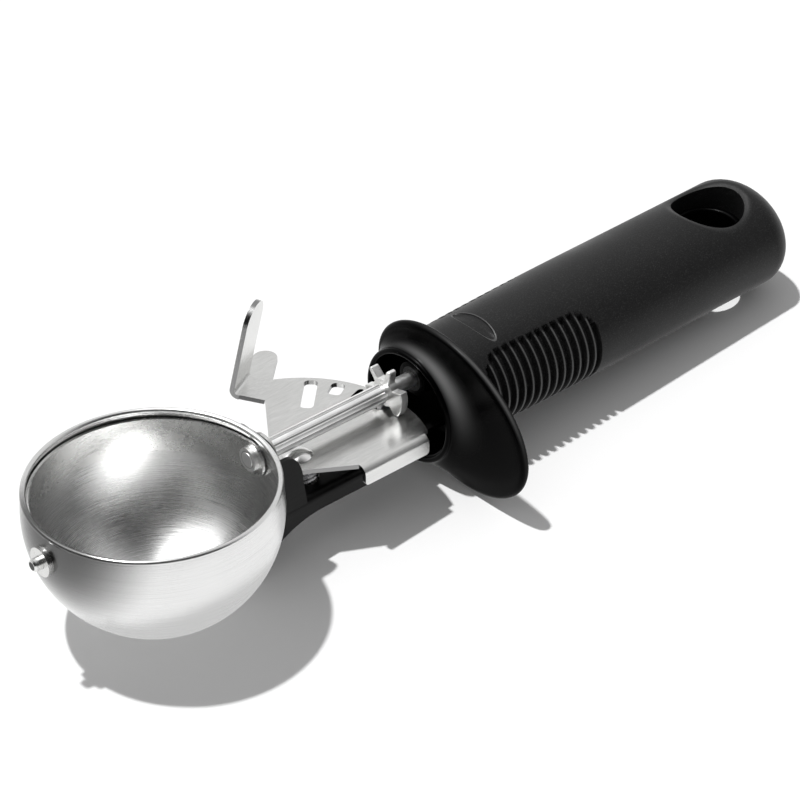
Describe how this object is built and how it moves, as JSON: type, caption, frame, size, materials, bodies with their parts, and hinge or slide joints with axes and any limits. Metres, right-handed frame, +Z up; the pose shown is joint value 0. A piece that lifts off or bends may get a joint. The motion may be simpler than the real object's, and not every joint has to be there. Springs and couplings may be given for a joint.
{
  "type": "lever ice cream scoop",
  "caption": "Ice cream scoop with a hemispherical steel bowl, a thumb lever that turns a toothed spindle and scraper blade, and a black guarded handle with a hanging hole.",
  "frame": {"origin": "on the floor, midway along and across the scoop as it lies on its bowl and handle end", "axes": "+X from the bowl towards the handle's end, +Z up, +Y to the side of the thumb tab"},
  "size_m": [0.2335, 0.0766, 0.047],
  "materials": {
    "brushed_stainless": "stamped stainless steel, finely brushed",
    "bright_steel": "drawn and turned steel, bright",
    "cast_zinc": "die-cast, tumbled to a soft shine",
    "black_hard_plastic": "moulded hard plastic, semi-gloss",
    "black_soft_grip": "soft over-moulded grip, matte with a fine grain",
    "black_nylon": "plain moulded bush",
    "spring_steel": "round spring wire"
  },
  "bodies": {
    "frame": {"bowl": "brushed_stainless", "front_bearing": "bright_steel", "rear_bearing": "bright_steel", "frame_channel": "brushed_stainless", "handle_core": "black_hard_plastic", "grip_sleeve": "black_soft_grip", "spindle_bush": "black_nylon", "front_tang_pin": "bright_steel", "rear_tang_pin": "bright_steel", "pivot_rivet": "bright_steel", "pivot_bushing": "black_nylon", "upper_washer": "bright_steel", "lower_washer": "bright_steel", "return_spring": "spring_steel"},
    "lever": {"lever_plate": "brushed_stainless"},
    "sweep": {"spindle": "bright_steel", "star_pinion": "cast_zinc", "scraper_blade": "brushed_stainless", "front_pin": "bright_steel"}
  },
  "joints": [
    {"name": "lever_pivot", "type": "hinge", "parent": "frame", "child": "lever", "pos_m": [-0.04284, -0.00204, 0.02282], "axis": [-0.0606, 0, -0.9982], "range_deg": [0, 33.5], "stiffness_Nm_per_rad": 0.4, "springref_deg": -20.05, "deforming": ["return_spring"]},
    {"name": "scraper_sweep", "type": "hinge", "parent": "frame", "child": "sweep", "pos_m": [-0.08348, -0.00104, 0.03], "axis": [-0.9982, 0, 0.0606], "range_deg": [0, 154.8]}
  ],
  "couplings": [
    {"joint": "scraper_sweep", "follows": "lever_pivot", "ratio": 4.6154}
  ]
}
